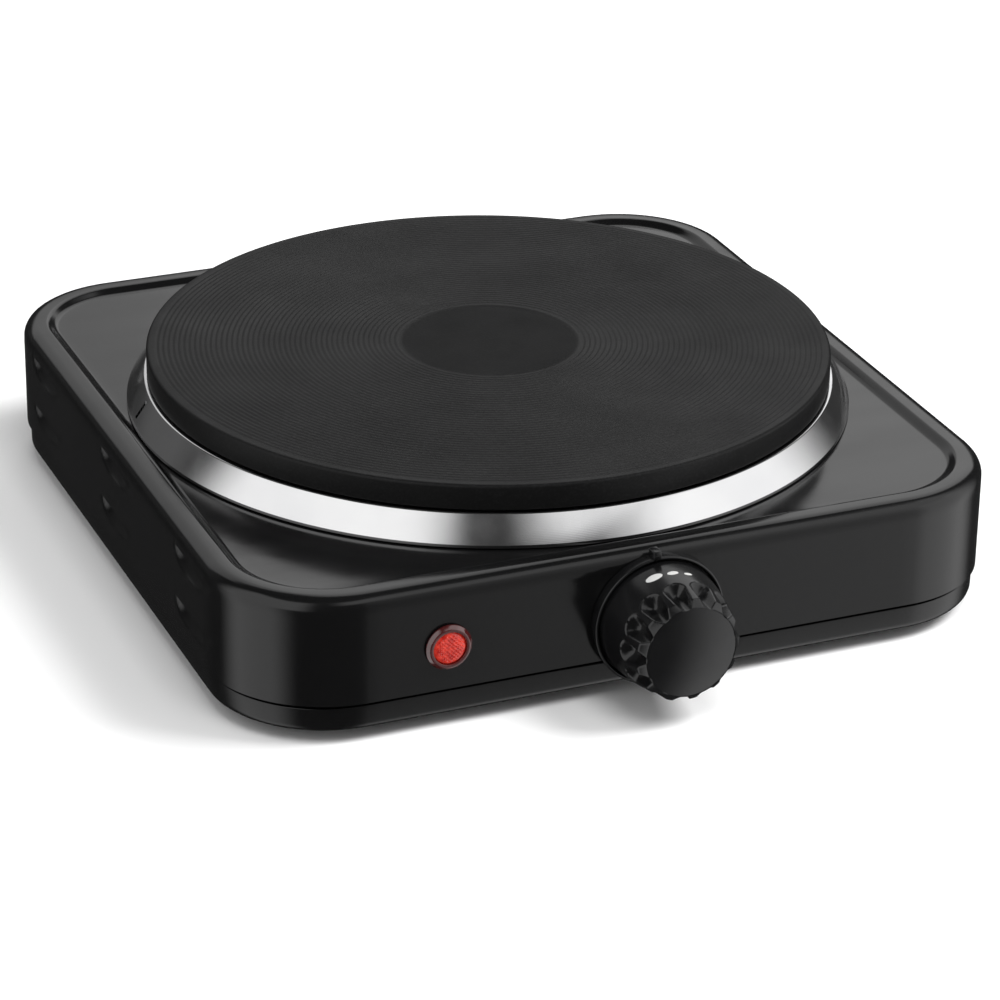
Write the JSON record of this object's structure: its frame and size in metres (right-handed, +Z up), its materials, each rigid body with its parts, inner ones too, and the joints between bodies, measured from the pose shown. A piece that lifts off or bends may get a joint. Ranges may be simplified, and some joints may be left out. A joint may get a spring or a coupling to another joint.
{
  "type": "hot plate burner",
  "caption": "Square countertop electric hot plate with a round grooved cast-iron plate, a bright trim ring, a fluted front knob and a red pilot lamp.",
  "frame": {"origin": "centre of the bounding box at the bottom of the feet", "axes": "+Z up, -Y towards the knob and lamp at the front, +X to the right seen from the front"},
  "size_m": [0.214, 0.25, 0.0544],
  "materials": {
    "housing_paint": "satin black stove enamel",
    "base_paint": "satin black powder coat",
    "cast_iron": "matt black seasoned iron",
    "chrome": "polished",
    "steel": "zinc plated",
    "coil_wire": "oxidised resistance alloy",
    "brass": "bright",
    "knob_plastic": "black phenolic",
    "knob_marks": "white print",
    "bezel_plastic": "black phenolic",
    "rubber": "matt",
    "ceramic": "opaque steatite",
    "insulating_fill": "opaque magnesia cement",
    "lens_red": "translucent red",
    "lamp_rim": "dark translucent",
    "bulb_glass": "clear",
    "nylon": "natural nylon",
    "gland_nylon": "black nylon",
    "wire_brown": "silicone sleeve",
    "wire_blue": "silicone sleeve",
    "wire_green": "silicone sleeve"
  },
  "bodies": {
    "stove": {"housing": "housing_paint", "base_pan": "base_paint", "hot_plate": "cast_iron", "trim_ring": "chrome", "insulating_fill": "insulating_fill", "heating_coil_inner": "coil_wire", "heating_coil_outer": "coil_wire", "plate_cover": "steel", "plate_terminal_block": "ceramic", "terminal_block_rivet": "steel", "plate_stud": "steel", "stud_spacer": "steel", "stud_washer": "steel", "stud_nut": "steel", "bridge_bar": "steel", "thermal_fuse": "ceramic", "fuse_clip": "steel", "heat_shield": "steel", "knob_bezel": "bezel_plastic", "thermostat_bracket": "steel", "thermostat_bush": "brass", "bracket_screw_left": "steel", "bracket_screw_right": "steel", "stack_insulator_front": "ceramic", "contact_spring": "brass", "stack_insulator_middle": "ceramic", "fixed_contact_blade": "brass", "stack_insulator_rear": "ceramic", "bimetal_strip": "steel", "stack_rivet": "steel", "pilot_bezel": "lamp_rim", "pilot_lens": "lens_red", "neon_bulb": "bulb_glass", "pilot_push_nut": "steel", "cable_gland": "gland_nylon", "gland_nut": "gland_nylon", "mains_terminal_block": "nylon", "mains_block_screw": "steel", "earth_screw": "brass", "wire_live": "wire_brown", "wire_neutral": "wire_blue", "wire_load": "wire_brown", "wire_fuse": "wire_brown", "wire_earth": "wire_green", "lamp_lead_load": "wire_brown", "lamp_lead_neutral": "wire_blue", "foot_front_left": "rubber", "foot_screw_front_left": "steel", "foot_front_right": "rubber", "foot_screw_front_right": "steel", "foot_rear_left": "rubber", "foot_screw_rear_left": "steel", "foot_rear_right": "rubber", "foot_screw_rear_right": "steel"},
    "knob_assembly": {"knob": "knob_plastic", "knob_clip": "steel", "thermostat_spindle": "brass"},
    "adjusting_pin": {"thermostat_pin": "ceramic"}
  },
  "joints": [
    {"name": "knob_turn", "type": "hinge", "parent": "stove", "child": "knob_assembly", "pos_m": [0.0018, -0.11, 0.0218], "axis": [0, -1, 0], "range_deg": [0, 270]},
    {"name": "adjusting_pin_slide", "type": "slide", "parent": "stove", "child": "adjusting_pin", "axis": [0, -1, 0], "range_m": [0, 0.0009]}
  ],
  "couplings": [
    {"joint": "adjusting_pin_slide", "follows": "knob_turn", "m_per_rad": 0.00018}
  ]
}
